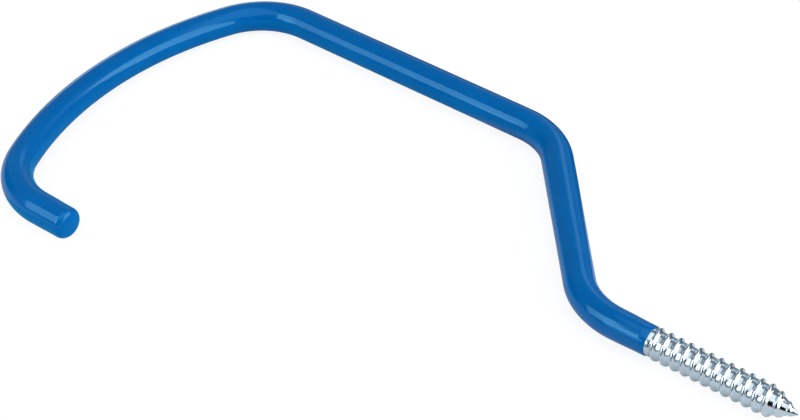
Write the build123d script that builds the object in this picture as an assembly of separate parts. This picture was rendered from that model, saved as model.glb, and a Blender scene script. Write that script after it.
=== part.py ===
from build123d import *
import os
from math import cos, radians, sin

# Screw-in bicycle storage hook. One steel rod is bent cold in a single plane, and one end of it
# carries a right-hand lag thread with a gimlet point. The bent part is dipped in soft vinyl.
# The origin is on the screw's axis at the dip line, where the coat ends and the bare steel begins.
# +X runs along the screw towards its point, the hook lies in the XY plane, and +Z is up.
# All sizes are in millimetres and degrees.

# Rod and coat
rod_diameter = 9.5
coat_thickness = 1.05
dip_line_thickness = 0.45     # the coat drains thin at the end that leaves the dip last
tip_rounding = 2.6            # soft rim round the coated end of the hook
rod_end_chamfer = 0.8         # broken edge left where the rod was cut

# Bends, all measured on the rod's centre line
shank_length = 13.1           # straight coated stretch behind the thread
crank_angle = 48.5
crank_radius = 27.5
arm_offset = 67.0             # screw axis to the long straight arm
arm_length = 103.0
corner_angle = 65.5
corner_radius = 27.5
tip_offset = 72.0             # screw axis to the short straight tip, on the other side
tip_length = 14.3

# Lag thread
bare_ring_length = 1.3        # plain steel left between the coat and the thread
shoulder_length = 0.5         # slope from the rod's full size down to the thread's root
thread_length = 51.2          # from the bare ring to the sharp point
thread_diameter = 10.6        # rolling pushes the crests up past the rod's own size
root_diameter = 8.8
thread_pitch = 3.63           # seven turns to the inch
crest_width = 0.6
root_width = 1.6
thread_start_angle = 14.0     # where the first crest leaves the ring, from +Y towards +Z
ridge_sink = 0.3              # how deep the ridge's foot is sunk in the core
point_length = 10.0
point_fullness = 1.35         # 1 is a straight cone, and more is a rounder point
point_flat = 0.04             # share of the thread's diameter left at the very tip
sections_per_turn = 16        # cross-sections that the point's ridge runs through

rod_radius = rod_diameter / 2
coat_radius = rod_radius + coat_thickness
dip_line_radius = rod_radius + dip_line_thickness
crest_radius = thread_diameter / 2
root_radius = root_diameter / 2
crest_half = crest_width / 2
flank_run = (thread_pitch - root_width - crest_width) / 2
foot_half = crest_half + flank_run * (1 + ridge_sink / (crest_radius - root_radius))


def bend_rise(radius, angle):
    """How far a bend carries the rod sideways, from its entry to its exit."""
    return radius * (1 - cos(radians(angle)))


# The crank's straight run and the crown's radius close the outline between the two offsets.
crank_length = (arm_offset - 2 * bend_rise(crank_radius, crank_angle)) / sin(radians(crank_angle))
crown_angle = 180 - 2 * corner_angle
crown_width = arm_offset + tip_offset - 2 * bend_rise(corner_radius, corner_angle)
crown_radius = crown_width / 2 / cos(radians(corner_angle))


def rod_centre_line():
    """The bent rod's spans in order from the dip line to the tip, each starting as the last ends."""
    bends_and_runs = [
        ("shank", shank_length, 0),
        ("crank_out", crank_radius, -crank_angle),
        ("crank", crank_length, 0),
        ("crank_back", crank_radius, crank_angle),
        ("arm", arm_length, 0),
        ("first_corner", corner_radius, corner_angle),
        ("crown", crown_radius, crown_angle),
        ("last_corner", corner_radius, corner_angle),
        ("tip", tip_length, 0),
    ]
    place = Vector(0, 0, 0)
    heading = Vector(-1, 0, 0)
    spans = {}
    for name, size, turn in bends_and_runs:
        if turn:
            span = JernArc(place, heading, size, turn)
        else:
            span = Line(place, place + heading * size)
        spans[name] = span
        place = span @ 1
        heading = span % 1
    return spans


def round_bar(span, start_radius, end_radius):
    """A round bar along one span: a cylinder, a cone where its radius changes, or a bend."""
    start = Plane(origin=span @ 0, z_dir=span % 0)
    if span.geom_type != GeomType.LINE:
        return sweep(start * Circle(start_radius), path=span)
    if start_radius == end_radius:
        return Solid.make_cylinder(start_radius, span.length, start)
    return Solid.make_cone(start_radius, end_radius, span.length, start)


def turned_to(along):
    """Where the crest points at a distance along the thread, in degrees from +Y towards +Z."""
    return thread_start_angle + 360 * along / thread_pitch


def size_left(along):
    """Share of the thread's full size left at a distance along it: all of it, less in the point."""
    into_point = (along - (thread_length - point_length)) / point_length
    return 1 - (1 - point_flat) * min(max(into_point, 0), 1) ** point_fullness


def ridge_section(along):
    """The ridge cut by a plane through the screw's axis: a flat crest, two flanks and a sunk foot."""
    direction = radians(turned_to(along))
    foot_radius = root_radius - ridge_sink
    corners = []
    for offset, full_radius in (
        (-foot_half, foot_radius),
        (-crest_half, crest_radius),
        (crest_half, crest_radius),
        (foot_half, foot_radius),
    ):
        place = along + offset
        radius = full_radius * size_left(place)
        corners.append((bare_ring_length + place, radius * cos(direction), radius * sin(direction)))
    return Wire.make_polygon(corners, close=True)


def full_ridge(start, end):
    """The ridge of the full thread, swept along a helix and cut off square where the bare ring ends."""
    helix_start = Vector(bare_ring_length + start, 0, 0)
    helix = Edge.make_helix(thread_pitch, end - start, crest_radius, center=helix_start, normal=(1, 0, 0))
    helix_start_angle = 90      # a helix about +X leaves from +Z
    helix = helix.rotate(Axis.X, turned_to(start) - helix_start_angle)
    ridge = Solid.sweep(Face(ridge_section(start)), Wire([helix]), is_frenet=True)
    return ridge.split(Plane.YZ.offset(bare_ring_length), keep=Keep.TOP)


def point_ridge(start, end):
    """The ridge of the point, a skin through sections that shrink towards the tip."""
    section_count = round((end - start) / thread_pitch * sections_per_turn)
    step = (end - start) / section_count
    return Solid.make_loft([ridge_section(start + step * index) for index in range(section_count + 1)])


def thread_core():
    """Plain ring beside the coat, a slope down to the root, and the core out to the point."""
    def core_at(along):
        return (bare_ring_length + along, root_radius * size_left(along))

    point_start = core_at(thread_length - point_length)
    point_middle = core_at(thread_length - point_length / 2)
    tip = core_at(thread_length)
    shoulder = [(bare_ring_length, rod_radius), core_at(shoulder_length)]
    outline = Polyline((0, 0), (0, rod_radius), *shoulder, point_start)
    outline += ThreePointArc(point_start, point_middle, tip)
    outline += Polyline(tip, (tip[0], 0), (0, 0))
    return revolve(make_face(outline), Axis.X)


def lag_thread():
    """The core and the ridge that winds round it, the full thread first and then the point."""
    inside_ring = -foot_half
    point_ridge_start = thread_length - point_length - foot_half
    point_ridge_end = thread_length - foot_half
    return [
        thread_core(),
        full_ridge(inside_ring, point_ridge_start),
        point_ridge(point_ridge_start, point_ridge_end),
    ]


def bent_bar(spans, radii):
    """All the spans of the bent bar joined, each with its radius at its start and end."""
    bars = [round_bar(span, *radii.get(name, radii["rest"])) for name, span in spans.items()]
    return bars[0].fuse(*bars[1:])


def steel_rod(spans):
    """The bare rod: bent bar, plain ring and lag thread in one piece."""
    bar = bent_bar(spans, {"rest": (rod_radius, rod_radius)})
    cut_end = bar.faces().sort_by_distance(spans["tip"] @ 1)[0]
    bar = chamfer(cut_end.edges(), rod_end_chamfer)
    return bar.fuse(*lag_thread())


def vinyl_coat(spans, rod):
    """The dipped skin: thin at the dip line, full from the arm on, and closed over the tip."""
    radii = {
        "shank": (dip_line_radius, dip_line_radius),
        "crank_out": (dip_line_radius, dip_line_radius),
        "crank": (dip_line_radius, coat_radius),
        "rest": (coat_radius, coat_radius),
    }
    outside = bent_bar(spans, radii)
    tip_end = Plane(origin=spans["tip"] @ 1, z_dir=spans["tip"] % 1)
    outside = outside.fuse(Solid.make_cylinder(coat_radius, coat_thickness, tip_end))
    end_face = outside.faces().sort_by_distance(tip_end.origin + tip_end.z_dir * coat_thickness)[0]
    outside = fillet(end_face.edges(), tip_rounding)
    return outside.cut(rod)


centre_line = rod_centre_line()
rod = steel_rod(centre_line)
coat = vinyl_coat(centre_line, rod)

os.makedirs("parts", exist_ok=True)
for name, solid in {"steel_rod": rod, "vinyl_coat": coat}.items():
    export_step(solid, f"parts/{name}.step")
    box = solid.bounding_box()
    print(name, "volume", round(solid.volume, 1), "mm3, size", box.size)
print("crank length", round(crank_length, 2), "crown radius", round(crown_radius, 2))
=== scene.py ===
# %% [markdown]
# # A screw-in bicycle storage hook
# The real hook is two things. One is a round steel rod, bent cold in a single plane and zinc
# plated, with a lag thread rolled into one end. The other is the soft blue vinyl that the bent
# part was dipped in. This lesson models each of them by hand, gives them their finishes, and
# lights them the way a small product studio does.
#
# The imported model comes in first. It is the frame that everything else has to fit: the screw's
# axis is X, the hook lies flat on the XY plane, and Z is up.

# %% Load the frame
import math

import bpy
from mathutils import Euler, Matrix, Vector


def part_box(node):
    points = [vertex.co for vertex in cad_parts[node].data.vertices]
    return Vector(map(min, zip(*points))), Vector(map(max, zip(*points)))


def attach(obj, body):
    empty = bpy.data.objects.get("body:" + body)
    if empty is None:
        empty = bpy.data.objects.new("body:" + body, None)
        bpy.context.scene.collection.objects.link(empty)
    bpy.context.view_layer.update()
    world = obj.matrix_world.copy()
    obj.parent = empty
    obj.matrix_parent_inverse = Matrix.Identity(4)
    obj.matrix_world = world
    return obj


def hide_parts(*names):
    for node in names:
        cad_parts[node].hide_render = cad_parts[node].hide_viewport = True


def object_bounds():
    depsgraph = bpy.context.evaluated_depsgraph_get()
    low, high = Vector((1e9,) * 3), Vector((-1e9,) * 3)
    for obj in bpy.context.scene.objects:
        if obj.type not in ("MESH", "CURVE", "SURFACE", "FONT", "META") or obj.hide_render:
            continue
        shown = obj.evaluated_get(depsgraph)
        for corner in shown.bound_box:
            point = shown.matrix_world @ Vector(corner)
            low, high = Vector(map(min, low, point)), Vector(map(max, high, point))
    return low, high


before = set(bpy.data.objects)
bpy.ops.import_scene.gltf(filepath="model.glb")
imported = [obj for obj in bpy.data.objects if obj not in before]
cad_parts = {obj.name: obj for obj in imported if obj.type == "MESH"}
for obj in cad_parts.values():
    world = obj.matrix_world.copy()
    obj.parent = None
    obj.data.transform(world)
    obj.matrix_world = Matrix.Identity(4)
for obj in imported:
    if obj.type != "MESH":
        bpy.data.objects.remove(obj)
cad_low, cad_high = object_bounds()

MM = 0.001      # one millimetre in Blender's metres
print("CAD box in mm", [round(x / MM, 2) for x in cad_low], [round(x / MM, 2) for x in cad_high])

# %% [markdown]
# ## The sizes
# These are the sizes that a bender would set on the machine, in millimetres and degrees: how far
# the two arms stand from the screw's axis, the lengths of the straight runs and, for each bend,
# its radius and its angle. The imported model's box says how thick the coat may be at its fullest,
# and where the point ends. The straight crank and the wide crown aren't free: their sizes close
# the outline between the two offsets.

# %% Sizes in millimetres
box_margin = 0.005       # the coat at its fullest stays just inside the CAD's box
point_margin = 0.15      # and so does the end of the gimlet point
fullest_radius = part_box("vinyl_coat")[1].z / MM - box_margin
point_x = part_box("steel_rod")[1].x / MM - point_margin

rod_radius = 4.75
coat_thickness = 1.05
arm_offset = 67.0        # from the screw's axis to the long straight arm
tip_offset = 72.0        # and to the short tip on the other side
shank_length = 13.1
crank_angle = 48.5
crank_radius = 27.5
arm_length = 103.0
corner_angle = 65.5
corner_radius = 27.5
tip_length = 14.3


def bend_rise(radius, angle):
    """How far a bend carries the rod sideways."""
    return radius * (1 - math.cos(math.radians(angle)))


crank_rise = arm_offset - 2 * bend_rise(crank_radius, crank_angle)
crank_length = crank_rise / math.sin(math.radians(crank_angle))
crown_angle = 180 - 2 * corner_angle
crown_width = arm_offset + tip_offset - 2 * bend_rise(corner_radius, corner_angle)
crown_radius = crown_width / 2 / math.cos(math.radians(corner_angle))
print("fullest coat radius", round(fullest_radius, 3), "point ends at", round(point_x, 2))
print("crank length", round(crank_length, 2), "crown radius", round(crown_radius, 2))

# %% [markdown]
# ## A pen that draws tubes
# A bent rod could be a curve with a round bevel, or a circle spun about each bend's centre. But
# a dipped coat isn't equally thick everywhere: it drains thin near the dip line and stays full
# where it hung lowest. So the tube is grown a ring at a time, as one would do it by hand: extrude
# the end face a little, turn it about the bend's centre, and scale it to the thickness there.
#
# The pen starts from a filled circle and heads along -X. When such a face is extruded, the face
# behind it stays as a cap, so the tube is closed at both ends from its first step.

# %% The pen
ring_points = 96
rotate_sign = -1         # transform.rotate turns the other way when Blender has no window
least_change = 1e-6      # a radius that changes by less is left as it is


def ease(share):
    """A share from 0 to 1 that starts and ends gently."""
    return share * share * (3 - 2 * share)


class TubePen:
    """Grows a closed round tube in edit mode, from the face at its end. All sizes are in mm."""

    def __init__(self, name, x, radius):
        bpy.ops.object.select_all(action="DESELECT")
        bpy.ops.mesh.primitive_circle_add(
            vertices=ring_points,
            radius=radius * MM,
            fill_type="NGON",
            location=(x * MM, 0, 0),
            rotation=(0, math.radians(-90), 0),
        )
        self.piece = bpy.context.object
        self.piece.name = name
        bpy.ops.object.transform_apply(location=True, rotation=True, scale=True)
        bpy.ops.object.mode_set(mode="EDIT")
        bpy.ops.mesh.select_all(action="SELECT")
        self.centre = Vector((x, 0, 0))
        self.heading = math.radians(180)
        self.radius = radius
        self.travelled = 0.0

    def forward(self):
        """The direction that the end face looks in."""
        return Vector((math.cos(self.heading), math.sin(self.heading), 0))

    def scale_to(self, radius):
        """Widens or narrows the end face to a radius."""
        if abs(radius - self.radius) > least_change:
            share = radius / self.radius
            bpy.ops.transform.resize(value=(share, share, share), center_override=self.centre * MM)
            self.radius = radius

    def run(self, length, radius=None, rings=1):
        """A straight run that ends at a radius, reached in gentle steps, one for each ring."""
        first = self.radius
        last = first if radius is None else radius
        for ring in range(1, rings + 1):
            step = self.forward() * (length / rings)
            bpy.ops.mesh.extrude_region_move(TRANSFORM_OT_translate={"value": step * MM})
            self.centre += step
            self.scale_to(first + (last - first) * ease(ring / rings))
        self.travelled += length

    def bend(self, bend_radius, turn, radius=None, rings=1):
        """A bend to the left, or to the right where the turn is negative, that ends at a radius."""
        first = self.radius
        last = first if radius is None else radius
        left = Vector((-math.sin(self.heading), math.cos(self.heading), 0))
        pivot = self.centre + left * math.copysign(bend_radius, turn)
        step = math.radians(turn) / rings
        for ring in range(1, rings + 1):
            bpy.ops.mesh.extrude_region_move(TRANSFORM_OT_translate={"value": (0, 0, 0)})
            bpy.ops.transform.rotate(
                value=rotate_sign * step,
                orient_axis="Z",
                center_override=pivot * MM,
            )
            self.centre = pivot + Matrix.Rotation(step, 3, "Z") @ (self.centre - pivot)
            self.heading += step
            self.scale_to(first + (last - first) * ease(ring / rings))
        self.travelled += bend_radius * abs(math.radians(turn))

    def round_off(self, rim_radius, dome_height, rim_rings=8, dome_rings=6):
        """A rounded rim and a slightly domed face that close the tube."""
        flat_radius = self.radius - rim_radius
        rim_height = rim_radius - dome_height
        done = 0.0
        for ring in range(1, rim_rings + 1):
            angle = math.radians(90) * ring / rim_rings
            risen = rim_height * math.sin(angle)
            self.run(risen - done, flat_radius + rim_radius * math.cos(angle))
            done = risen
        for ring in range(1, dome_rings):
            share = 1 - ring / dome_rings
            share_before = share + 1 / dome_rings
            self.run(dome_height * (share_before ** 2 - share ** 2), flat_radius * share)
        self.pole(dome_height / dome_rings ** 2)

    def pole(self, lift=0.0):
        """Draws the end face in to a single vertex."""
        step = self.forward() * lift
        bpy.ops.mesh.extrude_region_move(TRANSFORM_OT_translate={"value": step * MM})
        bpy.ops.mesh.merge(type="CENTER")

    def done(self):
        """Turns all faces outwards, leaves edit mode and hands over the piece."""
        bpy.ops.mesh.select_all(action="SELECT")
        bpy.ops.mesh.normals_make_consistent(inside=False)
        bpy.ops.object.mode_set(mode="OBJECT")
        bpy.ops.object.shade_smooth()
        return self.piece


# %% [markdown]
# ## The bent line
# The coat, the hollow inside it and the rod all follow one line, so it is drawn by one function.
# It is told the radius that the tube has reached at the end of each span. The rings are about
# 1 mm apart in the tight bends and up to 4 mm apart on the straight runs, close enough for smooth
# shading to make them round.

# %% Following the hook
rings_on = {
    "shank": 5,
    "crank_out": 22,
    "crank": 18,
    "crank_back": 22,
    "arm": 26,
    "first_corner": 30,
    "crown": 40,
    "last_corner": 30,
    "tip": 6,
}


def follow_hook(pen, widths, tip_run):
    """Draws the hook from where the pen is on the shank, with a radius for the end of each span."""
    bends_and_runs = [
        ("shank", pen.centre.x + shank_length, 0),
        ("crank_out", crank_radius, -crank_angle),
        ("crank", crank_length, 0),
        ("crank_back", crank_radius, crank_angle),
        ("arm", arm_length, 0),
        ("first_corner", corner_radius, corner_angle),
        ("crown", crown_radius, crown_angle),
        ("last_corner", corner_radius, corner_angle),
        ("tip", tip_run, 0),
    ]
    for span, size, turn in bends_and_runs:
        if turn:
            pen.bend(size, turn, widths[span], rings_on[span])
        else:
            pen.run(size, widths[span], rings_on[span])


def even(radius):
    """The same radius for every span."""
    return {span: radius for span in rings_on}


def report(piece):
    """Prints a piece's box and how many triangles it has."""
    corners = [Vector(corner) / MM for corner in piece.bound_box]
    low = [round(min(corner[axis] for corner in corners), 2) for axis in range(3)]
    high = [round(max(corner[axis] for corner in corners), 2) for axis in range(3)]
    triangles = sum(len(polygon.vertices) - 2 for polygon in piece.data.polygons)
    print(piece.name, "box in mm", low, high, "triangles", triangles)


def apply_modifier(piece, kind, **settings):
    """Adds a modifier with its settings and applies it."""
    bpy.ops.object.select_all(action="DESELECT")
    piece.select_set(True)
    bpy.context.view_layer.objects.active = piece
    modifier = piece.modifiers.new(kind.title(), kind)
    for key, value in settings.items():
        setattr(modifier, key, value)
    bpy.ops.object.modifier_apply(modifier=modifier.name)


def boolean(piece, other, operation):
    """Joins or cuts a piece with another, which is then thrown away."""
    apply_modifier(piece, "BOOLEAN", object=other, operation=operation, solver="EXACT")
    bpy.data.objects.remove(other, do_unlink=True)


# %% [markdown]
# ## The vinyl coat
# A dipped coat is plastisol: liquid vinyl that gels on the hot steel and is then fused in an
# oven. It is about 0.4 mm thick beside the dip line, where it drained, and 1 mm on the arms,
# where it hung thickest. It is thinner again round the crown, and it draws in towards the tip.
#
# The skin is drawn first, then the rod's space is cut out of it, so that it is a real sleeve
# with a wall. Its mouth beside the thread was trimmed square with a knife, so the rim there is
# rounded by no more than a tenth of a millimetre. The other end has a soft rim and a low dome.

# %% The coat's outside
coat_widths = {
    "shank": 5.36,
    "crank_out": 5.42,
    "crank": 5.70,
    "crank_back": fullest_radius,
    "arm": fullest_radius,
    "first_corner": 5.54,
    "crown": 5.56,
    "last_corner": fullest_radius,
    "tip": 5.62,
}
mouth_radius = 5.12
mouth_edge = 0.10
edge_corner = 0.3        # the edge's two small slopes meet at this share of its size
tip_rim = 2.7
tip_dome = 0.3
coat_sharp_angle = math.radians(40)

pen = TubePen("dipped_coat", 0, mouth_radius - mouth_edge)
pen.run(mouth_edge * edge_corner, mouth_radius - mouth_edge * edge_corner)
pen.run(mouth_edge * (1 - edge_corner), mouth_radius)
follow_hook(pen, coat_widths, tip_length + coat_thickness - tip_rim + tip_dome)
pen.round_off(tip_rim, tip_dome)
coat = pen.done()
print("the coat's line is", round(pen.travelled, 1), "mm long")
print("it ends at", [round(x, 2) for x in pen.centre])

# %% The rod's space inside the coat
rod_clearance = 0.02
cutter_start = 3.0       # the cutter starts outside the coat's mouth

pen = TubePen("rod_space", cutter_start, rod_radius + rod_clearance)
pen.run(cutter_start)
follow_hook(pen, even(rod_radius + rod_clearance), tip_length + rod_clearance)
pen.pole()
boolean(coat, pen.done(), "DIFFERENCE")
bpy.ops.object.shade_smooth_by_angle(angle=coat_sharp_angle)
report(coat)

# %% [markdown]
# ## The steel rod
# Under the coat the rod is plain bar. Past the dip line there is a short bare ring, and then a
# slope down to the thread's root, with its upper edge broken. The rod is drawn with the same pen.
# It starts as a stub inside the thread's core and runs back to the end that was sawn off and
# chamfered.

# %% The bent bar
bare_ring_length = 1.3
shoulder_length = 0.5
root_radius = 4.4
shoulder_edge = 0.08
stub_length = 3.0
stub_sink = 0.35         # how much slimmer the stub starts than the core that it is joined to
end_chamfer = 0.8
shoulder_end = bare_ring_length + shoulder_length

pen = TubePen("zinc_plated_rod", shoulder_end + stub_length, root_radius - stub_sink)
pen.run(stub_length, root_radius - shoulder_edge)
pen.run(shoulder_length - shoulder_edge, rod_radius - shoulder_edge)
pen.run(2 * shoulder_edge, rod_radius)
pen.run(bare_ring_length - shoulder_edge)
follow_hook(pen, even(rod_radius), tip_length - end_chamfer)
pen.run(end_chamfer, rod_radius - end_chamfer)
pen.pole()
rod = pen.done()
report(rod)

# %% [markdown]
# ## The lag thread
# A lag thread is rolled, not cut: two dies squeeze the bar and push its metal up into the
# ridges, so crests and roots are rounded and the crests stand a little proud of the bar.
#
# One pitch of its outline is drawn as a chain of vertices and wound by a Screw modifier. Each
# half of the ridge has a round crest, a flank and a soft hollow where it meets the root. The
# winding is longer than the thread, because only the turns between its ends are closed all
# round. Two bisects with fill then trim it to length.

# %% One pitch of the outline
thread_pitch = 3.63
crest_radius = 5.3
crest_width = 0.6
root_width = 1.6
crest_at_plus_y = 1.16   # where the crest first passes the +Y side of the screw
turns_before = 1.5       # the winding starts in a root, this many turns before that crest

# Over the crest: shares of its half width, and how far down in mm.
crest_round = [(0.0, 0.0), (0.55, 0.012), (0.95, 0.055), (1.35, 0.14)]
# Down the flank: shares of the way along it, and shares of the thread's height.
flank_line = [(0.30, 0.30), (0.70, 0.72), (0.88, 0.88)]
# Into the root: mm past the flank's foot, and shares of the thread's height.
root_round = [(0.04, 0.965), (0.22, 0.995)]
root_flat_half = 0.25

ridge_height = crest_radius - root_radius
half_pitch = thread_pitch / 2
crest_half = crest_width / 2
flank_foot = half_pitch - root_width / 2
flank_run = flank_foot - crest_half
first_root = crest_at_plus_y - turns_before * thread_pitch


def thread_outline():
    """Points of one pitch, from one root's middle to the next: how far along and how far out."""
    half = [(crest_half * share, drop) for share, drop in crest_round]
    half += [(crest_half + flank_run * way, ridge_height * down) for way, down in flank_line]
    half += [(flank_foot + past, ridge_height * down) for past, down in root_round]
    half += [(half_pitch - root_flat_half, ridge_height), (half_pitch, ridge_height)]
    left = [(half_pitch - along, crest_radius - drop) for along, drop in reversed(half)]
    right = [(half_pitch + along, crest_radius - drop) for along, drop in half[1:]]
    return left + right


outline = thread_outline()
bpy.ops.object.select_all(action="DESELECT")
bpy.ops.mesh.primitive_plane_add(size=MM, location=(first_root * MM, root_radius * MM, 0))
thread = bpy.context.object
thread.name = "thread"
bpy.ops.object.transform_apply(location=True, rotation=True, scale=True)
bpy.ops.object.mode_set(mode="EDIT")
bpy.ops.mesh.select_all(action="SELECT")
bpy.ops.mesh.merge(type="CENTER")
for (along, out), (next_along, next_out) in zip(outline, outline[1:]):
    step = Vector((next_along - along, next_out - out, 0))
    bpy.ops.mesh.extrude_region_move(TRANSFORM_OT_translate={"value": step * MM})
bpy.ops.object.mode_set(mode="OBJECT")
print("outline vertices", len(thread.data.vertices), "over", round(outline[-1][0], 3), "mm")

# %% Winding and trimming it
steps_per_turn = 72
weld_distance = 0.002
ring_overlap = 0.02      # the thread starts this far inside the bare ring
thread_start_x = bare_ring_length - ring_overlap

turns = math.ceil((point_x - first_root) / thread_pitch)
apply_modifier(
    thread,
    "SCREW",
    axis="X",
    angle=math.radians(360),
    screw_offset=thread_pitch * MM,
    iterations=turns,
    steps=steps_per_turn,
    render_steps=steps_per_turn,
    use_merge_vertices=True,
    merge_threshold=weld_distance * MM,
    use_smooth_shade=True,
)
bpy.ops.object.mode_set(mode="EDIT")
for cut_x, drop_inner in ((thread_start_x, True), (point_x, False)):
    bpy.ops.mesh.select_all(action="SELECT")
    bpy.ops.mesh.bisect(
        plane_co=(cut_x * MM, 0, 0),
        plane_no=(1, 0, 0),
        use_fill=True,
        clear_inner=drop_inner,
        clear_outer=not drop_inner,
    )
bpy.ops.mesh.select_all(action="SELECT")
bpy.ops.mesh.normals_make_consistent(inside=False)
bpy.ops.object.mode_set(mode="OBJECT")
print("turns wound", turns)
report(thread)

# %% [markdown]
# ## The gimlet point
# At its end a lag screw tapers to a sharp point that pulls itself into the wood, and the ridge
# runs on along the taper. A lattice shapes it: a cage of thin slices across the screw, each
# scaled to the size that the thread has left there. Between two slices the taper is straight,
# and the slices are close enough for it to look curved.

# %% Tapering the thread with a lattice
point_length = 10.0
point_fullness = 1.35    # 1 is a straight cone, and more is a rounder point
point_flat = 0.04        # the share of the thread's size left at the very tip
point_slices = 25
cage_width = 12.0
point_start = point_x - point_length


def size_left(into_point):
    """Share of the full size at a share of the way into the point."""
    return 1 - (1 - point_flat) * into_point ** point_fullness


bpy.ops.object.select_all(action="DESELECT")
bpy.ops.object.add(type="LATTICE")
cage = bpy.context.object
for direction, count in (("u", point_slices), ("v", 2), ("w", 2)):
    setattr(cage.data, f"points_{direction}", count)
    setattr(cage.data, f"interpolation_type_{direction}", "KEY_LINEAR")
cage.location = ((point_start + point_length / 2) * MM, 0, 0)
cage.scale = (point_length * MM, cage_width * MM, cage_width * MM)
for corner in cage.data.points:
    into_point = min(max(corner.co.x + 0.5, 0), 1)      # the cage runs from -0.5 to 0.5
    share = size_left(into_point)
    corner.co_deform = Vector((corner.co.x, corner.co.y * share, corner.co.z * share))
bpy.context.view_layer.update()
apply_modifier(thread, "LATTICE", object=cage)
bpy.data.objects.remove(cage, do_unlink=True)
report(thread)

# %% Joining thread and bar
thread_sharp_angle = math.radians(50)
at_the_crest = 0.002
at_the_side = 0.05

boolean(rod, thread, "UNION")
bpy.ops.object.shade_smooth_by_angle(angle=thread_sharp_angle)
report(rod)
places = [vertex.co / MM for vertex in rod.data.vertices if vertex.co.x > 0]
crests = {
    round(place.x, 2)
    for place in places
    if place.y > crest_radius - at_the_crest and abs(place.z) < at_the_side
}
print("crests on the +Y side at", sorted(crests)[:4], "mm")

# %% [markdown]
# ## Nodes and colours
# Materials are built from nodes. One small function adds a node with its settings and links, and
# another turns the hex value that a colour picker gives into the linear values that light
# calculations need.

# %% Helpers for materials
COLOUR_A = 6             # a Mix node that mixes colours takes them at these two inputs
COLOUR_B = 7
MIXED = 2                # and gives the result at this output


def linear(hex_value):
    """An sRGB hex value, such as '00589F', as linear red, green, blue and alpha."""
    channels = [int(hex_value[start:start + 2], 16) / 255 for start in (0, 2, 4)]
    # This is the sRGB standard's own curve: straight for the darkest values, and a power above.
    curve = [c / 12.92 if c <= 0.04045 else ((c + 0.055) / 1.055) ** 2.4 for c in channels]
    return (*curve, 1.0)


def add_node(tree, kind, links=None, inputs=None, **settings):
    """Adds a node with what is linked to its inputs, its other inputs' values and its settings."""
    node = tree.nodes.new(kind)
    for key, value in settings.items():
        setattr(node, key, value)
    for key, value in (inputs or {}).items():
        node.inputs[key].default_value = value
    for key, source in (links or {}).items():
        tree.links.new(source, node.inputs[key])
    return node


def new_material(name):
    """An empty material with its output node."""
    material = bpy.data.materials.new(name)
    material.use_nodes = True
    material.node_tree.nodes.clear()
    output = add_node(material.node_tree, "ShaderNodeOutputMaterial")
    return material, material.node_tree, output


def per_mm(size):
    """The texture scale that gives features of a size in millimetres."""
    return 1 / (size * MM)


# %% [markdown]
# ## Glossy dipped vinyl
# Plasticised PVC has an index of about 1.53 and a wet-looking gloss, because it fused as a
# liquid against air. It isn't perfectly level: it keeps slow sags a few millimetres long and a
# very fine orange peel. Its pigment is a strong, slightly greenish blue.
#
# The gloss of real vinyl is white. Here the specular tint holds back its red, because the gloss
# in the photograph has hardly any, and a white gloss would make the blue look violet.

# %% Material: dipped vinyl
vinyl_index = 1.53
vinyl_roughness = 0.1
gloss_tint = (0.25, 0.76, 1.0, 1.0)
sag_length = 14          # mm from one sag to the next
sag_depth = 0.12
peel_length = 1.2
peel_depth = 0.003

vinyl, tree, output = new_material("dipped_vinyl")
place = add_node(tree, "ShaderNodeTexCoord").outputs["Object"]
sag = add_node(
    tree,
    "ShaderNodeTexNoise",
    {"Vector": place},
    {"Scale": per_mm(sag_length), "Detail": 1.0},
)
peel = add_node(
    tree,
    "ShaderNodeTexNoise",
    {"Vector": place},
    {"Scale": per_mm(peel_length), "Detail": 2.0},
)
tone = add_node(
    tree,
    "ShaderNodeMix",
    {"Factor": sag.outputs["Fac"]},
    {COLOUR_A: linear("00589F"), COLOUR_B: linear("0063AA")},
    data_type="RGBA",
)
sag_bump = add_node(
    tree,
    "ShaderNodeBump",
    {"Height": sag.outputs["Fac"]},
    {"Strength": 1.0, "Distance": sag_depth * MM},
)
peel_bump = add_node(
    tree,
    "ShaderNodeBump",
    {"Height": peel.outputs["Fac"], "Normal": sag_bump.outputs["Normal"]},
    {"Strength": 1.0, "Distance": peel_depth * MM},
)
gloss = add_node(
    tree,
    "ShaderNodeBsdfPrincipled",
    {"Base Color": tone.outputs[MIXED], "Normal": peel_bump.outputs["Normal"]},
    {"Roughness": vinyl_roughness, "IOR": vinyl_index, "Specular Tint": gloss_tint},
)
tree.links.new(gloss.outputs[0], output.inputs["Surface"])
coat.data.materials.clear()
coat.data.materials.append(vinyl)
print(vinyl.name, "has", len(tree.nodes), "nodes")

# %% [markdown]
# ## Bright zinc plating
# The screw is zinc plated in a barrel and dipped in a clear blue passivate, which gives a cool,
# bright silver with a fine grain and faint clouds of tone. The dies burnish the crests as they
# roll them, so the roots are a little duller. The point is the brightest, because it rubs
# against the other screws in the barrel. So the roughness is the product of two ramps: one
# outwards from root to crest, the other along the screw.

# %% Material: bright zinc
grain_size = 0.5         # mm, coarser than real zinc crystals, so that the render shows it
grain_depth = 0.0012
cloud_size = 3.0
root_to_crest = (1.0, 0.8)
shank_to_point = (0.20, 0.14)
burnish_from = point_start - 1.0
burnish_to = point_start + 2.0

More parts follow.
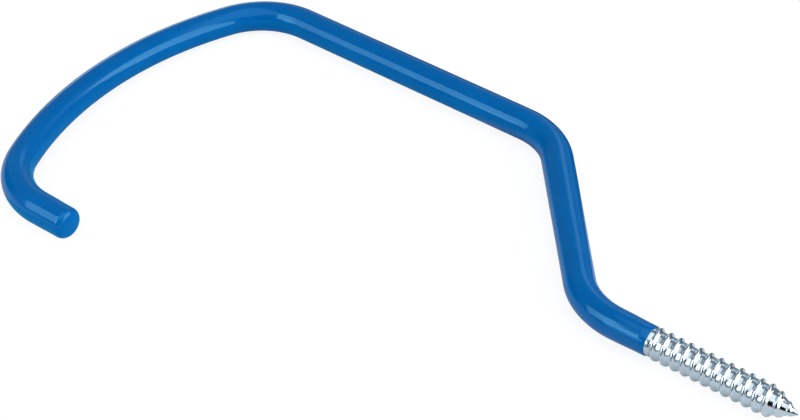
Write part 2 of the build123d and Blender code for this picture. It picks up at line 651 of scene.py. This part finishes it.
zinc, tree, output = new_material("bright_zinc")
place = add_node(tree, "ShaderNodeTexCoord").outputs["Object"]
across = add_node(tree, "ShaderNodeMapping", {"Vector": place}, {"Scale": (0, 1, 1)})
reach = add_node(tree, "ShaderNodeVectorMath", {0: across.outputs[0]}, operation="LENGTH")
polish = add_node(
    tree,
    "ShaderNodeMapRange",
    {"Value": reach.outputs["Value"]},
    {
        "From Min": root_radius * MM,
        "From Max": crest_radius * MM,
        "To Min": root_to_crest[0],
        "To Max": root_to_crest[1],
    },
)
along = add_node(tree, "ShaderNodeSeparateXYZ", {0: place})
burnish = add_node(
    tree,
    "ShaderNodeMapRange",
    {"Value": along.outputs["X"]},
    {
        "From Min": burnish_from * MM,
        "From Max": burnish_to * MM,
        "To Min": shank_to_point[0],
        "To Max": shank_to_point[1],
    },
    interpolation_type="SMOOTHSTEP",
)
dull = add_node(
    tree,
    "ShaderNodeMath",
    {0: burnish.outputs[0], 1: polish.outputs[0]},
    operation="MULTIPLY",
)
cloud = add_node(
    tree,
    "ShaderNodeTexNoise",
    {"Vector": place},
    {"Scale": per_mm(cloud_size), "Detail": 2.0},
)
tone = add_node(
    tree,
    "ShaderNodeMix",
    {"Factor": cloud.outputs["Fac"]},
    {COLOUR_A: linear("D9E1E8"), COLOUR_B: linear("EBF1F5")},
    data_type="RGBA",
)
grain = add_node(
    tree,
    "ShaderNodeTexNoise",
    {"Vector": place},
    {"Scale": per_mm(grain_size), "Detail": 3.0},
)
bump = add_node(
    tree,
    "ShaderNodeBump",
    {"Height": grain.outputs["Fac"]},
    {"Strength": 1.0, "Distance": grain_depth * MM},
)
metal = add_node(
    tree,
    "ShaderNodeBsdfPrincipled",
    {
        "Base Color": tone.outputs[MIXED],
        "Roughness": dull.outputs[0],
        "Normal": bump.outputs["Normal"],
    },
    {"Metallic": 1.0},
)
tree.links.new(metal.outputs[0], output.inputs["Surface"])
rod.data.materials.clear()
rod.data.materials.append(zinc)
print(zinc.name, "has", len(tree.nodes), "nodes")

# %% [markdown]
# ## Putting the pieces in the frame
# Each new piece stands for its CAD solid, which is hidden, and rides on the part's one body.

# %% Frame
stands_for = [
    (coat, "vinyl_coat", "dipped_vinyl"),
    (rod, "steel_rod", "zinc_plated_steel"),
]
for piece, node, slot in stands_for:
    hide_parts(node)
    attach(piece, "root")
    print(piece.name, "stands for", node)

# %% [markdown]
# ## The table and the white background
# The hook lies on a pale table in a dim studio, with a white wall far behind it. The table is a
# plain matt surface, so that it takes the hook's shadow, mixed with a glow of its own. The glow is
# for what looks at the table: full white for the camera, and dimmer for the gloss of the vinyl and
# the metal, because only the far part of a real table is lit as brightly as the background.
#
# The gloss sees more than plain paper. Inside the U and under the tip the paper lies in the hook's
# shade and catches blue light bounced off it, so there the gloss sees painted shade and painted blue
# bounce light. Photographers also lay black cards beside bright metal to give it dark edges. These
# are round patches of colour that only glossy rays see, so they never show in the picture itself.

# %% Table and background
table_size = 3.0         # metres
white_paper = linear("F2F2F2")
white_for_camera = 1.2
glow_share = 0.82
table_in_gloss = 0.3
glow_share_in_gloss = 0.45
pale_in_gloss = (0.84, 0.94, 1.0, 1.0)
# painted shade and painted blue light bounced off the hook, seen only by the gloss
painted_bounce_in_gloss = (0.16, 0.70, 0.95, 1.0)
black_card = (0.02, 0.03, 0.04, 1.0)
# Each patch's centre in mm, the radius to which it is full and the radius where it ends.
on_the_table = [
    (-165, 0, 72, 84, painted_bounce_in_gloss),        # painted shade and blue bounce light inside the U
    (-195, -85, 24, 36, painted_bounce_in_gloss),      # painted shade and blue bounce light under the tip
    (0, 460, 404, 416, black_card),          # beyond the long arm
    (15, -85, 45, 54, black_card),           # on the camera's side of the thread
]

bpy.ops.object.select_all(action="DESELECT")
bpy.ops.mesh.primitive_plane_add(size=table_size, location=(cad_low.x / 2, 0, cad_low.z))
table = bpy.context.object
table.name = "table"
bpy.ops.object.transform_apply(location=True, rotation=True, scale=True)
surface, tree, output = new_material("white_table")

place = add_node(tree, "ShaderNodeTexCoord").outputs["Object"]
in_gloss = None
for x, y, full, end, patch_colour in on_the_table:
    reach = add_node(
        tree,
        "ShaderNodeVectorMath",
        {0: place},
        {1: (x * MM, y * MM, cad_low.z)},
        operation="DISTANCE",
    )
    covered = add_node(
        tree,
        "ShaderNodeMapRange",
        {"Value": reach.outputs["Value"]},
        {"From Min": end * MM, "From Max": full * MM},
        interpolation_type="SMOOTHSTEP",
    )
    links = {"Factor": covered.outputs[0]}
    if in_gloss is not None:
        links[COLOUR_A] = in_gloss
    in_gloss = add_node(
        tree,
        "ShaderNodeMix",
        links,
        {COLOUR_A: pale_in_gloss, COLOUR_B: patch_colour},
        data_type="RGBA",
    ).outputs[MIXED]

# %% What looks at the table
path = add_node(tree, "ShaderNodeLightPath")
glossy_ray = path.outputs["Is Glossy Ray"]
straight_ray = add_node(
    tree,
    "ShaderNodeMath",
    {0: path.outputs["Is Camera Ray"], 1: path.outputs["Is Transmission Ray"]},
    operation="MAXIMUM",
).outputs[0]
colour = add_node(
    tree,
    "ShaderNodeMix",
    {"Factor": glossy_ray, COLOUR_B: in_gloss},
    {COLOUR_A: white_paper},
    data_type="RGBA",
).outputs[MIXED]
seen = {}
for name, in_picture, in_reflection in (
    ("strength", white_for_camera, table_in_gloss),
    ("share", glow_share, glow_share_in_gloss),
):
    for_straight = add_node(
        tree, "ShaderNodeMath", {0: straight_ray}, {1: in_picture}, operation="MULTIPLY"
    )
    for_glossy = add_node(
        tree, "ShaderNodeMath", {0: glossy_ray}, {1: in_reflection}, operation="MULTIPLY"
    )
    seen[name] = add_node(
        tree,
        "ShaderNodeMath",
        {0: for_straight.outputs[0], 1: for_glossy.outputs[0]},
        operation="MAXIMUM",
    ).outputs[0]
matt = add_node(tree, "ShaderNodeBsdfDiffuse", {"Color": colour})
glow = add_node(tree, "ShaderNodeEmission", {"Color": colour, "Strength": seen["strength"]})
mixed = add_node(
    tree,
    "ShaderNodeMixShader",
    {0: seen["share"], 1: matt.outputs[0], 2: glow.outputs[0]},
)
tree.links.new(mixed.outputs[0], output.inputs["Surface"])
surface.cycles.emission_sampling = "NONE"
table.data.materials.append(surface)
print(surface.name, "has", len(on_the_table), "patches in the gloss")

# %% [markdown]
# ## The room in the gloss
# Between the lamps, gloss shows the room: a dim bluish level all round, a pale wall and white
# cards on the far side, which draw the pale lines along the hook's outline, and dark cloth round
# the camera, which keeps the vinyl's blue deep. One white card beside the camera gives the thread
# its bright line, and the black card under it gives that line a crisp edge. Only glossy rays see
# them, as soft patches of the world's sky. Diffuse rays see one even fill, and the camera sees
# white.

# %% World
fill_level = 0.36
room_in_gloss = 0.22
room_tint = (0.67, 0.86, 1.0, 1.0)
white = (1.0, 1.0, 1.0, 1.0)
# Each patch's azimuth and elevation, how far it is full and where it ends, all in degrees, and
# how much brighter or darker than the room it is. The camera stands at an azimuth of -60.
gloss_patches = [
    (143, 3, 6, 14, 2.00),                   # white card, low on the far left
    (108, 34, 3, 12, 0.90),                  # white card, high on the far side
    (120, 13, 8, 18, 0.22),                  # pale wall on the far side
    (60, 35, 6, 14, 0.60),                   # pale card, high on the far right
    (-109, 16, 9, 13, 2.50),                 # white card on the camera's left
    (-109, 0, 3, 6, -room_in_gloss),         # black card under it
    (-55, 17, 19, 32, -room_in_gloss),       # dark cloth below the camera
    (-172, 14, 8, 20, -room_in_gloss),       # dark cloth on the left
]


def unit(azimuth, elevation):
    """The direction at an azimuth and elevation in degrees."""
    turn = math.radians(azimuth)
    rise = math.radians(elevation)
    return Vector((math.cos(rise) * math.cos(turn), math.cos(rise) * math.sin(turn), math.sin(rise)))


world = bpy.data.worlds.new("studio")
world.use_nodes = True
tree = world.node_tree
tree.nodes.clear()
direction = add_node(tree, "ShaderNodeTexCoord").outputs["Generated"]
room = None
for azimuth, elevation, full, end, level in gloss_patches:
    near = add_node(
        tree,
        "ShaderNodeVectorMath",
        {0: direction},
        {1: unit(azimuth, elevation)},
        operation="DOT_PRODUCT",
    )
    patch = add_node(
        tree,
        "ShaderNodeMapRange",
        {"Value": near.outputs["Value"]},
        {
            "From Min": math.cos(math.radians(end)),
            "From Max": math.cos(math.radians(full)),
            "To Max": level,
        },
        interpolation_type="SMOOTHSTEP",
    )
    links = {1: patch.outputs[0]}
    if room is not None:
        links[0] = room
    room = add_node(tree, "ShaderNodeMath", links, {0: room_in_gloss}, operation="ADD").outputs[0]

# %% What looks at the world
path = add_node(tree, "ShaderNodeLightPath")
glossy_ray = path.outputs["Is Glossy Ray"]
gloss = add_node(tree, "ShaderNodeMath", {0: glossy_ray, 1: room}, operation="MULTIPLY")
fill = add_node(
    tree,
    "ShaderNodeMath",
    {0: path.outputs["Is Diffuse Ray"]},
    {1: fill_level},
    operation="MULTIPLY",
)
level = path.outputs["Is Camera Ray"]
for other in (path.outputs["Is Transmission Ray"], gloss.outputs[0], fill.outputs[0]):
    level = add_node(tree, "ShaderNodeMath", {0: level, 1: other}, operation="MAXIMUM").outputs[0]
tint = add_node(
    tree,
    "ShaderNodeMix",
    {"Factor": glossy_ray},
    {COLOUR_A: white, COLOUR_B: room_tint},
    data_type="RGBA",
)
background = add_node(
    tree,
    "ShaderNodeBackground",
    {"Strength": level, "Color": tint.outputs[MIXED]},
)
add_node(tree, "ShaderNodeOutputWorld", {"Surface": background.outputs[0]})
world.cycles.sampling_method = "NONE"
bpy.context.scene.world = world
print("the room has", len(gloss_patches), "patches in the gloss")

# %% [markdown]
# ## Three softboxes
# The long pale streaks along the vinyl are reflections of two softboxes, one on each side of the
# camera, and the soft light along its top comes from a third overhead. Each is an area lamp. A
# real softbox is brightest near its flash and fades to its rim, so each lamp's strength comes
# from a small ramp across its face and a fade along each of its four edges.

# %% Softboxes
def softbox(name, centre, faces, roll, size, radiance, lean, edge, colour=white):
    """An area lamp. faces is the azimuth and elevation, in degrees, that its back looks in."""
    azimuth = math.radians(faces[0])
    back = unit(*faces)
    right = Vector((-math.sin(azimuth), math.cos(azimuth), 0))
    up = back.cross(right)
    across = right * math.cos(math.radians(roll)) + up * math.sin(math.radians(roll))
    along = back.cross(across)
    lamp = bpy.data.lights.new(name, "AREA")
    lamp.shape = "RECTANGLE"
    lamp.size = size[0] * MM
    lamp.size_y = size[1] * MM
    lamp.energy = lamp.size * lamp.size_y * math.pi      # this makes its own radiance 1
    lamp.use_nodes = True
    tree = lamp.node_tree
    tree.nodes.clear()
    face = add_node(tree, "ShaderNodeNewGeometry").outputs["Parametric"]
    split = add_node(tree, "ShaderNodeSeparateXYZ", {0: face})
    strength = add_node(
        tree,
        "ShaderNodeMapRange",
        {"Value": split.outputs["X"]},
        {"To Min": radiance * (1 - lean / 2), "To Max": radiance * (1 + lean / 2)},
    ).outputs[0]
    rims = [("X", 0, edge), ("X", 1, 1 - edge), ("Y", 0, edge), ("Y", 1, 1 - edge)]
    for axis, rim, full in rims:
        fade = add_node(
            tree,
            "ShaderNodeMapRange",
            {"Value": split.outputs[axis]},
            {"From Min": rim, "From Max": full},
            interpolation_type="SMOOTHSTEP",
        ).outputs[0]
        strength = add_node(
            tree, "ShaderNodeMath", {0: strength, 1: fade}, operation="MULTIPLY"
        ).outputs[0]
    light = add_node(tree, "ShaderNodeEmission", {"Strength": strength}, {"Color": colour})
    add_node(tree, "ShaderNodeOutputLight", {0: light.outputs[0]})
    thing = bpy.data.objects.new(name, lamp)
    bpy.context.scene.collection.objects.link(thing)
    turn = Matrix((across, along, back)).transposed()
    thing.matrix_world = Matrix.Translation(Vector(centre) * MM) @ turn.to_4x4()
    thing.visible_camera = False
    print(name, size[0], "by", size[1], "mm at", centre)


softbox(
    "left_softbox",
    centre=(-465, -486, 392),
    faces=(-96.7, 14.3),
    roll=18.3,
    size=(490, 500),
    radiance=3.1,
    lean=0.8,
    edge=0.04,
)
softbox(
    "right_softbox",
    centre=(1272, 176, 555),
    faces=(57.9, -10.3),
    roll=-43.8,
    size=(1750, 1650),
    radiance=3.4,
    lean=0.3,
    edge=0.08,
)
softbox(
    "top_softbox",
    centre=(250, -250, 900),
    faces=(0, 90),
    roll=0,
    size=(1300, 1300),
    radiance=1.0,
    lean=0.0,
    edge=0.1,
    colour=(0.88, 0.95, 1.0, 1.0),
)

# %% [markdown]
# ## The camera
# The hook is seen from above and from the screw's side, through a short telephoto.

# %% Camera
camera_place = (226.76, -400.71, 429.99)
camera_azimuth = 39.244
camera_elevation = 39.576
camera_roll = -0.95
focal_length = 89.79
film_width = 36.0

lens = bpy.data.cameras.new("camera")
lens.lens = focal_length
lens.sensor_width = film_width
camera = bpy.data.objects.new("camera", lens)
bpy.context.scene.collection.objects.link(camera)
aim = Euler((math.radians(90 - camera_elevation), 0, math.radians(camera_azimuth))).to_matrix()
roll = Matrix.Rotation(math.radians(camera_roll), 3, "Z")
camera.matrix_world = Matrix.Translation(Vector(camera_place) * MM) @ (aim @ roll).to_4x4()
bpy.context.scene.camera = camera
bpy.context.scene.view_settings.view_transform = "Standard"
print("camera at", camera_place, "mm with a lens of", focal_length, "mm")
